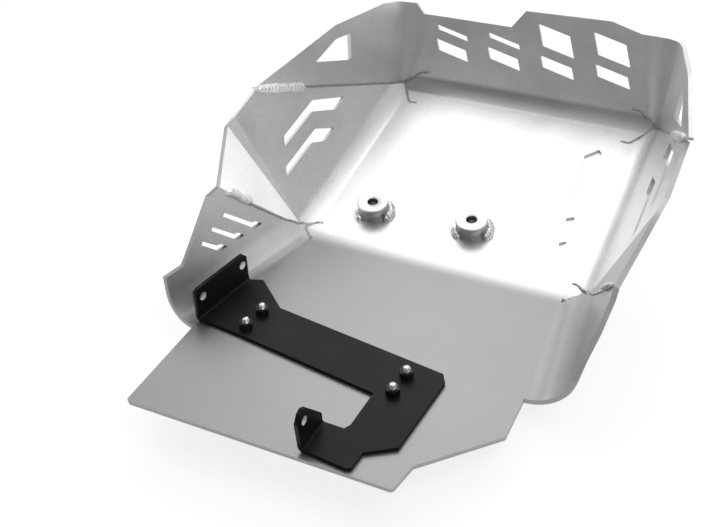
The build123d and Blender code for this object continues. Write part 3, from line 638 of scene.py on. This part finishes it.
def dress_node(name, material, edge=0.0):
    """Gives a CAD node its material and, where one is named, a small rounding of its sharp edges."""
    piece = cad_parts[name]
    piece.data.materials.clear()
    piece.data.materials.append(material)
    if edge:
        weld = piece.modifiers.new("Joined facets", "WELD")
        weld.merge_threshold = 1e-6
        flat = piece.modifiers.new("Flat panels", "DECIMATE")
        flat.decimate_type = "DISSOLVE"
        flat.angle_limit = math.radians(0.5)
        soft = piece.modifiers.new("Broken edges", "BEVEL")
        soft.width = edge
        soft.segments = 2
        soft.limit_method = "ANGLE"
        soft.angle_limit = math.radians(35)
        soft.harden_normals = False
        soft.use_clamp_overlap = True


def new_piece(name, mesh, material, replaced=None):
    """Adds a finished mesh as a piece of its own, or as one that stands for a CAD node."""
    mesh.materials.append(material)
    piece = bpy.data.objects.new(name, mesh)
    bpy.context.scene.collection.objects.link(piece)
    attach(piece, "root")
    if replaced:
        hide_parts(replaced)


def finish_mesh(work, name, smooth=True):
    """Mesh of the work, with its faces turned outward."""
    bmesh.ops.recalc_face_normals(work, faces=work.faces)
    mesh = bpy.data.meshes.new(name)
    work.to_mesh(mesh)
    work.free()
    for polygon in mesh.polygons:
        polygon.use_smooth = smooth
    return mesh


def skin(work, rows, closed=False):
    """Faces between rows of vertices that join into a ring, or else end in a cap on either side."""
    sides = len(rows[0])
    for first, second in zip(rows, rows[1:] + rows[:1] if closed else rows[1:]):
        for side in range(sides):
            after = (side + 1) % sides
            work.faces.new((first[side], first[after], second[after], second[side]))
    if not closed:
        work.faces.new(rows[0][::-1])
        work.faces.new(rows[-1])


def islands(name, whole=True):
    """Vertices of each whole solid in a CAD node, or else of each of its faces, as arrays."""
    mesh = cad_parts[name].data
    spots = np.array([vertex.co for vertex in mesh.vertices])
    owner = list(range(len(spots)))

    def root(index):
        while owner[index] != index:
            owner[index] = owner[owner[index]]
            index = owner[index]
        return index

    if whole:
        keys = {}
        for index, spot in enumerate(spots):
            key = tuple(np.round(spot, 6))
            if key in keys:
                owner[root(index)] = root(keys[key])
            keys[key] = index
    for edge in mesh.edges:
        first, second = edge.vertices
        owner[root(first)] = root(second)
    groups = {}
    for index in range(len(spots)):
        groups.setdefault(root(index), []).append(index)
    return [spots[indices] for indices in groups.values()]


def bar_ends(spots):
    """Ends of a long bar, the lower one first, from its vertices."""
    middle = spots.mean(0)
    axis = np.linalg.svd(spots - middle)[2][0]
    run = (spots - middle) @ axis
    ends = (Vector(middle + axis * run.min()), Vector(middle + axis * run.max()))
    return sorted(ends, key=lambda end: end.z)


def upright_holes():
    """Centre, axis and radius of each round hole in the bracket's upright tab and ear."""
    holes = []
    for spots in islands("mounting_bracket", whole=False):
        ring = np.unique(np.round(spots, 6), axis=0)
        centre = ring.mean(0)
        axis = np.linalg.svd(ring - centre)[2][2]
        away = np.linalg.norm(np.cross(ring - centre, axis), axis=1)
        round_hole = len(ring) >= RING_VERTICES and np.ptp(away) < RING_SLACK and away.max() < RING_LIMIT
        if round_hole and abs(axis[0]) > RING_ACROSS:
            holes.append((Vector(centre), Vector(axis), float(away.mean())))
    return holes


def bead(work, path, outward, radius, ripple, depth, layer, seed, sides=BEAD_SIDES):
    """Weld bead along a path: a round bar with crescent ripples, laid into the corner."""
    lengths = [0.0]
    for first, second in zip(path, path[1:]):
        lengths.append(lengths[-1] + (second - first).length)
    total = lengths[-1]
    rings = max(LEAST_RINGS, int(total / ripple * RIPPLE_RINGS))
    rows = []
    for ring in range(rings + 1):
        along = min(total * ring / rings, total)
        index = max(i for i, length in enumerate(lengths[:-1]) if length <= along + 1e-12)
        share = (along - lengths[index]) / (lengths[index + 1] - lengths[index])
        spot = path[index].lerp(path[index + 1], share)
        ahead = (path[index + 1] - path[index]).normalized()
        out = outward(spot)
        out = (out - ahead * out.dot(ahead)).normalized()
        across = ahead.cross(out)
        swing = 1 + sum(size * math.sin(seed * start + along / ripple * rate)
                        for size, start, rate in BEAD_SWINGS)
        from_end = min(1.0, min(along, total - along) / (END_LENGTH * radius))
        taper = math.sqrt(max(0.0, 1 - (1 - from_end) ** 2))
        row = []
        for side in range(sides):
            angle = 2 * math.pi * side / sides
            phase = (along + CRESCENT_LEAD * radius * math.cos(angle)) / ripple
            crest = math.sin(math.pi * (phase - math.floor(phase))) ** CREST_POWER
            size = radius * swing * (1 - depth + depth * crest) * (END_SIZE + (1 - END_SIZE) * taper)
            height = CROWN_HEIGHT if math.cos(angle) > 0 else 1.0
            vertex = work.verts.new(spot + out * (size * math.cos(angle) * height)
                                    + across * (size * math.sin(angle)))
            vertex[layer] = crest
            row.append(vertex)
        rows.append(row)
    skin(work, rows)


def laid_path(tree, guide, gap):
    """Guide line laid onto the sheet's inner face, as seen from a point inside the tub."""
    path = []
    for first, second in zip(guide, guide[1:]):
        count = max(2, int((second - first).length / LAY_STEP))
        for step in range(count + 1):
            spot = first.lerp(second, step / count)
            aside = (second - first).cross(spot - LAY_EYE).normalized() * gap
            aims = [(spot + aside * sign - LAY_EYE).normalized() for sign in (-1, 1)]
            hits = [tree.ray_cast(LAY_EYE, aim)[0] for aim in aims]
            found = [hit for hit in hits if hit is not None and (hit - spot).length < LAY_REACH]
            if found:
                path.append(sum(found, Vector()) / len(found))
    smooth = []
    for index in range(len(path)):
        near = path[max(0, index - NEIGHBOURS):index + NEIGHBOURS + 1]
        spot = sum(near, Vector()) / len(near)
        if not smooth or (spot - smooth[-1]).length > LEAST_STEP:
            smooth.append(spot)
    return smooth


# Operators

class SKID_OT_sheet(bpy.types.Operator):
    """Finish the folded sheet"""
    bl_idname = "skid.sheet"
    bl_label = "Folded sheet"

    def execute(self, context):
        dress_node("skid_plate", sheet_material(context.scene.skid_sheet))
        return {"FINISHED"}


class SKID_OT_bosses(bpy.types.Operator):
    """Turn the two bosses with their rounded shoulders"""
    bl_idname = "skid.bosses"
    bl_label = "Bosses"

    def execute(self, context):
        settings = context.scene.skid_sheet
        material = boss_material(settings)
        for name in ("boss_left", "boss_right"):
            low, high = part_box(name)
            spots = islands(name)[0]
            middle = (low + high) / 2
            bore = float(np.hypot(spots[:, 0] - middle.x, spots[:, 1] - middle.y).min())
            work = bmesh.new()
            turn_boss(work, low, high, bore, settings.shoulder)
            mesh = finish_mesh(work, name + "_turned")
            new_piece(name + "_turned", mesh, material, name)
        return {"FINISHED"}


def turn_boss(work, low, high, bore, shoulder):
    """Ring with a bore and a rounded shoulder, turned about its upright axis."""
    middle = (low + high) / 2
    radius = (high.x - low.x) / 2
    tall = high.z - low.z
    profile = [(bore, 0.0)] + [(bore + out, tall - down) for out, down in BORE_LIP]
    for step in range(SHOULDER_STEPS + 1):
        angle = math.pi / 2 * step / SHOULDER_STEPS
        profile.append((radius - shoulder + shoulder * math.sin(angle),
                        tall - shoulder + shoulder * math.cos(angle)))
    profile.append((radius, 0.0))
    layer = work.verts.layers.float.new("bore")
    rows = []
    for out, up in profile:
        row = []
        for side in range(BOSS_SIDES):
            turn = 2 * math.pi * side / BOSS_SIDES
            spot = work.verts.new((middle.x + out * math.cos(turn), middle.y + out * math.sin(turn),
                                   low.z + up))
            # Marks the part of the bore that gets the painted shade
            spot[layer] = float(out < bore + BORE_SHADE)
            row.append(spot)
        rows.append(row)
    skin(work, rows, closed=True)


class SKID_OT_boss_welds(bpy.types.Operator):
    """Lay the rippled beads at the feet of the bosses"""
    bl_idname = "skid.boss_welds"
    bl_label = "Boss welds"

    def execute(self, context):
        settings = context.scene.skid_weld
        work = bmesh.new()
        layer = work.verts.layers.float.new("ripple")
        for number, name in enumerate(("boss_left", "boss_right")):
            low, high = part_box(name)
            centre = Vector(((low.x + high.x) / 2, (low.y + high.y) / 2, low.z))
            radius = (high.x - low.x) / 2

            def outward(spot):
                return (spot - centre).normalized() + Vector((0, 0, 1.0))

            for middle, span, share in BOSS_BEADS:
                width = settings.boss_width * share
                lift = width * BOSS_BEAD_LIFT
                path = []
                for step in range(BOSS_BEAD_STEPS + 1):
                    angle = math.radians(middle - span / 2 + span * step / BOSS_BEAD_STEPS)
                    aside = Vector((math.cos(angle), math.sin(angle), 0)) * (radius + lift)
                    path.append(centre + aside + Vector((0, 0, lift)))
                bead(work, path, outward, width, settings.ripple, settings.depth, layer,
                     seed=number * 1.7 + middle)
        mesh = finish_mesh(work, "boss_weld_beads")
        material = weld_material("Weld bead", settings.tone, settings.soot)
        new_piece("boss_weld_beads", mesh, material, "boss_welds")
        return {"FINISHED"}


class SKID_OT_seam_welds(bpy.types.Operator):
    """Lay the rippled beads along the open seams"""
    bl_idname = "skid.seam_welds"
    bl_label = "Seam welds"

    def execute(self, context):
        settings = context.scene.skid_weld
        inside = Vector((0, 0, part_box("skid_plate")[1].z))
        # The wing seams take the painted shade of the slits between their ripples
        wing = (settings.wing_width, 1.0, settings.overrun, settings.seam_shade, WING_RIPPLES)
        flap = (settings.flap_width, settings.right_share, 0.0, settings.flap_soot, FLAP_RIPPLES)
        for name, values in (("wing_seam_welds", wing), ("flap_seam_welds", flap)):
            radius, right_share, overrun, soot, (stretch, depth, metallic) = values
            work = bmesh.new()
            layer = work.verts.layers.float.new("ripple")
            for number, spots in enumerate(islands(name)):
                start, end = bar_ends(spots)
                end = end + (end - start).normalized() * overrun
                width = radius * (right_share if end.x > 0 else 1.0)
                raised = (inside - (start + end) / 2).normalized() * radius * SEAM_BEAD_LIFT
                path = [start.lerp(end, step / SEAM_BEAD_STEPS) + raised
                        for step in range(SEAM_BEAD_STEPS + 1)]
                bead(work, path, lambda spot: inside - spot, width, settings.ripple * stretch, depth, layer,
                     seed=number * 2.3 + radius * 900)
            mesh = finish_mesh(work, name + "_beads")
            material = weld_material(name, settings.tone, soot, metallic)
            new_piece(name + "_beads", mesh, material, name)
        return {"FINISHED"}


class SKID_OT_corner_seams(bpy.types.Operator):
    """Run the thin beads in the slits of the four corner stars"""
    bl_idname = "skid.corner_seams"
    bl_label = "Corner seams"

    def execute(self, context):
        settings = context.scene.skid_weld
        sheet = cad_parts["skid_plate"]
        tree = BVHTree.FromPolygons([sheet.matrix_world @ vertex.co for vertex in sheet.data.vertices],
                                    [polygon.vertices for polygon in sheet.data.polygons])
        work = bmesh.new()
        layer = work.verts.layers.float.new("ripple")
        for number, guide in enumerate(corner_guides()):
            path = laid_path(tree, guide, SLIT_GAP * settings.seam_width)
            bead(work, path, lambda spot: LAY_EYE - spot, settings.seam_width,
                 settings.ripple * SLIT_RIPPLE, SLIT_DEPTH, layer, seed=number * 1.9, sides=SLIT_BEAD_SIDES)
        mesh = finish_mesh(work, "corner_seam_beads")
        # Corner seam beads coloured dark as painted shade of the slits
        material = weld_material("Corner seam", settings.slit_bead_shade_tone, settings.seam_shade)
        new_piece("corner_seam_beads", mesh, material)
        return {"FINISHED"}


def corner_guides():
    """Lines of the corner stars: from each floor corner to its seam bead, and along its slits."""
    stars = (("wing_seam_welds", HALF_LENGTH, FRONT_SLITS), ("flap_seam_welds", -HALF_LENGTH, REAR_SLITS))
    lines = []
    for side in (-1, 1):
        for name, forward, slits in stars:
            corner = Vector((side * HALF_WIDTH, forward, SHEET))
            ends = [end for spots in islands(name) for end in bar_ends(spots) if end.x * side > 0]
            lines.append([corner, min(ends, key=lambda end: (end - corner).length)])
            for slit in slits:
                steps = [Vector((-side * inward, ahead, up)) for inward, ahead, up in slit]
                lines.append([corner] + [corner + step for step in steps])
    return lines


class SKID_OT_bracket(bpy.types.Operator):
    """Finish the black mounting bracket"""
    bl_idname = "skid.bracket"
    bl_label = "Mounting bracket"

    def execute(self, context):
        settings = context.scene.skid_black
        dress_node("mounting_bracket", bracket_material(settings), settings.edge)
        return {"FINISHED"}


class SKID_OT_screws(bpy.types.Operator):
    """Cut the threads of the four screws"""
    bl_idname = "skid.screws"
    bl_label = "Bracket screws"

    def execute(self, context):
        settings = context.scene.skid_black
        work = bmesh.new()
        for spots in islands("bracket_screws"):
            cut_screw(work, spots, settings.thread, settings.turns)
        mesh = finish_mesh(work, "screw_threads")
        new_piece("screw_threads", mesh, screw_material(settings), "bracket_screws")
        return {"FINISHED"}


def cut_screw(work, spots, pitch, turns):
    """Countersunk screw with a cut thread, from the vertices of its solid."""
    foot, tip = bar_ends(spots)
    axis = (tip - foot).normalized()
    across = axis.orthogonal().normalized()
    round_axis = axis.cross(across)
    length = (tip - foot).length
    offsets = [Vector(spot) - foot for spot in spots]
    run = np.array([offset.dot(axis) for offset in offsets])
    away = np.array([(offset - axis * offset.dot(axis)).length for offset in offsets])
    head = float(away.max())
    shank = float(away[run > length * PAST_HEAD].max())
    sink = head - shank

    def radius(along, side):
        """Radius of the sunk head, or of the thread with its groove and its chamfered tip."""
        if along <= sink:
            return head - along
        phase = (along / pitch - side / turns) % 1.0
        chamfer = TIP_SLOPE * max(0.0, along - (length - TIP_CHAMFER))
        return shank - max(pitch * GROOVE * abs(2 * phase - 1), chamfer)

    count = int((length - sink) / pitch * THREAD_RINGS)
    rows = []
    for along in [0.0] + [sink + (length - sink) * step / count for step in range(count + 1)]:
        row = []
        for side in range(turns):
            angle = 2 * math.pi * side / turns
            size = radius(along, side)
            row.append(work.verts.new(foot + axis * along + across * (size * math.cos(angle))
                                      + round_axis * (size * math.sin(angle))))
        rows.append(row)
    skin(work, rows)


class SKID_OT_nuts(bpy.types.Operator):
    """Finish the four black nuts"""
    bl_idname = "skid.nuts"
    bl_label = "Bracket nuts"

    def execute(self, context):
        settings = context.scene.skid_black
        dress_node("bracket_nuts", nut_material(settings), settings.nut_edge)
        return {"FINISHED"}


class SKID_OT_stage(bpy.types.Operator):
    """Set the floor, the studio light and the camera"""
    bl_idname = "skid.stage"
    bl_label = "Stage"

    def execute(self, context):
        settings = context.scene.skid_stage
        context.scene.view_settings.view_transform = "Standard"
        lay_floor(context.scene, settings)
        light_studio(context.scene, settings)
        place_camera(context.scene, settings)
        return {"FINISHED"}


def lay_floor(scene, settings):
    """Wide floor that glows where it is seen, so that it stays white."""
    work = bmesh.new()
    bmesh.ops.create_grid(work, x_segments=1, y_segments=1, size=STAGE_REACH)
    mesh = finish_mesh(work, "studio_floor", smooth=False)
    floor = bpy.data.objects.new("studio_floor", mesh)
    floor.location.z = -STAGE_GAP
    scene.collection.objects.link(floor)
    material, tree, shader = new_material("Studio floor")
    shader.inputs["Base Color"].default_value = (*settings.white, 1)
    shader.inputs["Roughness"].default_value = 0.9
    shader.inputs["Specular IOR Level"].default_value = 0.0
    rays = node(tree, "ShaderNodeLightPath")
    seen = math_node(tree, "MAXIMUM", rays.outputs["Is Camera Ray"], rays.outputs["Is Glossy Ray"])
    seen = math_node(tree, "MAXIMUM", seen, rays.outputs["Is Transmission Ray"])
    shader.inputs["Emission Color"].default_value = (1, 1, 1, 1)
    link(tree, product(tree, seen, settings.glow), shader.inputs["Emission Strength"])
    mesh.materials.append(material)


def light_studio(scene, settings):
    """Studio that is bright overhead and ahead, and dark low behind the camera, with its three lamps."""
    world = bpy.data.worlds.new("Studio")
    scene.world = world
    world.use_nodes = True
    tree = world.node_tree
    tree.nodes.clear()
    way = node(tree, "ShaderNodeTexCoord").outputs["Generated"]
    facing = vector_math(tree, "DOT_PRODUCT", way, Vector(BRIGHT_SIDE).normalized())
    studio = node(tree, "ShaderNodeBackground")
    level = remap(tree, facing, *BRIGHT_EDGE, settings.dark, settings.bright, True)
    link(tree, level, studio.inputs["Strength"])
    backdrop = node(tree, "ShaderNodeBackground")
    backdrop.inputs["Color"].default_value = (1, 1, 1, 1)
    mix = node(tree, "ShaderNodeMixShader")
    link(tree, node(tree, "ShaderNodeLightPath").outputs["Is Camera Ray"], mix.inputs[0])
    link(tree, studio.outputs[0], mix.inputs[1])
    link(tree, backdrop.outputs[0], mix.inputs[2])
    link(tree, mix.outputs[0], node(tree, "ShaderNodeOutputWorld").inputs["Surface"])

    hang(scene, area_lamp("Softbox", settings.lamp, SOFTBOX_SIZE), SOFTBOX_PLACE, PLATE_AIM)
    hang(scene, area_lamp("Fill", settings.fill, FILL_SIZE), FILL_PLACE, PLATE_AIM)
    hang(scene, narrow_spot("Kicker", settings.kicker), KICKER_PLACE, KICKER_AIM)


def area_lamp(name, power, size):
    """Lamp with a wide face."""
    light = bpy.data.lights.new(name, "AREA")
    light.shape = "RECTANGLE"
    light.size, light.size_y = size
    light.energy = power
    return light


def narrow_spot(name, power):
    """Spot with a narrow cone and a soft edge."""
    light = bpy.data.lights.new(name, "SPOT")
    light.energy = power
    light.spot_size = math.radians(KICKER_CONE)
    light.spot_blend = 0.6
    light.shadow_soft_size = 0.03
    return light


def hang(scene, light, place, aim):
    """Hangs a light at its place and turns it to its aim."""
    lamp = bpy.data.objects.new(light.name, light)
    scene.collection.objects.link(lamp)
    lamp.location = place
    lamp.rotation_mode = "QUATERNION"
    lamp.rotation_quaternion = (Vector(aim) - lamp.location).to_track_quat("-Z", "Y")


def place_camera(scene, settings):
    """Camera at the place that the photograph was taken from."""
    lens = bpy.data.cameras.new("Photo camera")
    lens.sensor_fit = "HORIZONTAL"
    lens.sensor_width = 36
    lens.lens = settings.lens
    lens.clip_start, lens.clip_end = 0.01, 50
    camera = bpy.data.objects.new("Photo camera", lens)
    scene.collection.objects.link(camera)
    turn = Matrix((CAMERA_RIGHT, CAMERA_UP, CAMERA_RIGHT.cross(CAMERA_UP))).transposed()
    camera.matrix_world = Matrix.Translation(settings.place) @ turn.to_4x4()
    scene.camera = camera


class SKID_PT_panel(bpy.types.Panel):
    """Lists the pieces of the skid plate"""
    bl_idname = "SKID_PT_panel"
    bl_label = "Skid Plate"
    bl_space_type = "VIEW_3D"
    bl_region_type = "UI"
    bl_category = "Skid Plate"

    def draw(self, context):
        for name, operators in LISTED:
            box = self.layout.box()
            group = getattr(context.scene, name)
            for label in group.__annotations__:
                box.prop(group, label)
            for operator in operators:
                box.operator(operator.bl_idname)


LISTED = (
    ("skid_sheet", (SKID_OT_sheet, SKID_OT_bosses)),
    ("skid_weld", (SKID_OT_boss_welds, SKID_OT_seam_welds, SKID_OT_corner_seams)),
    ("skid_black", (SKID_OT_bracket, SKID_OT_screws, SKID_OT_nuts)),
    ("skid_stage", (SKID_OT_stage,)),
)
GROUPS = {"skid_sheet": SheetSettings, "skid_weld": WeldSettings, "skid_black": BlackSettings,
          "skid_stage": StageSettings}
CLASSES = (*GROUPS.values(), *(operator for name, operators in LISTED for operator in operators),
           SKID_PT_panel)


def register():
    for entry in CLASSES:
        bpy.utils.register_class(entry)
    for name, entry in GROUPS.items():
        setattr(bpy.types.Scene, name, PointerProperty(type=entry))


def unregister():
    for name in GROUPS:
        delattr(bpy.types.Scene, name)
    for entry in reversed(CLASSES):
        bpy.utils.unregister_class(entry)


def main():
    register()
    bpy.ops.skid.sheet()
    bpy.ops.skid.bosses()
    bpy.ops.skid.boss_welds()
    bpy.ops.skid.seam_welds()
    bpy.ops.skid.corner_seams()
    bpy.ops.skid.bracket()
    bpy.ops.skid.screws()
    bpy.ops.skid.nuts()
    bpy.ops.skid.stage()


if __name__ == "__main__":
    main()
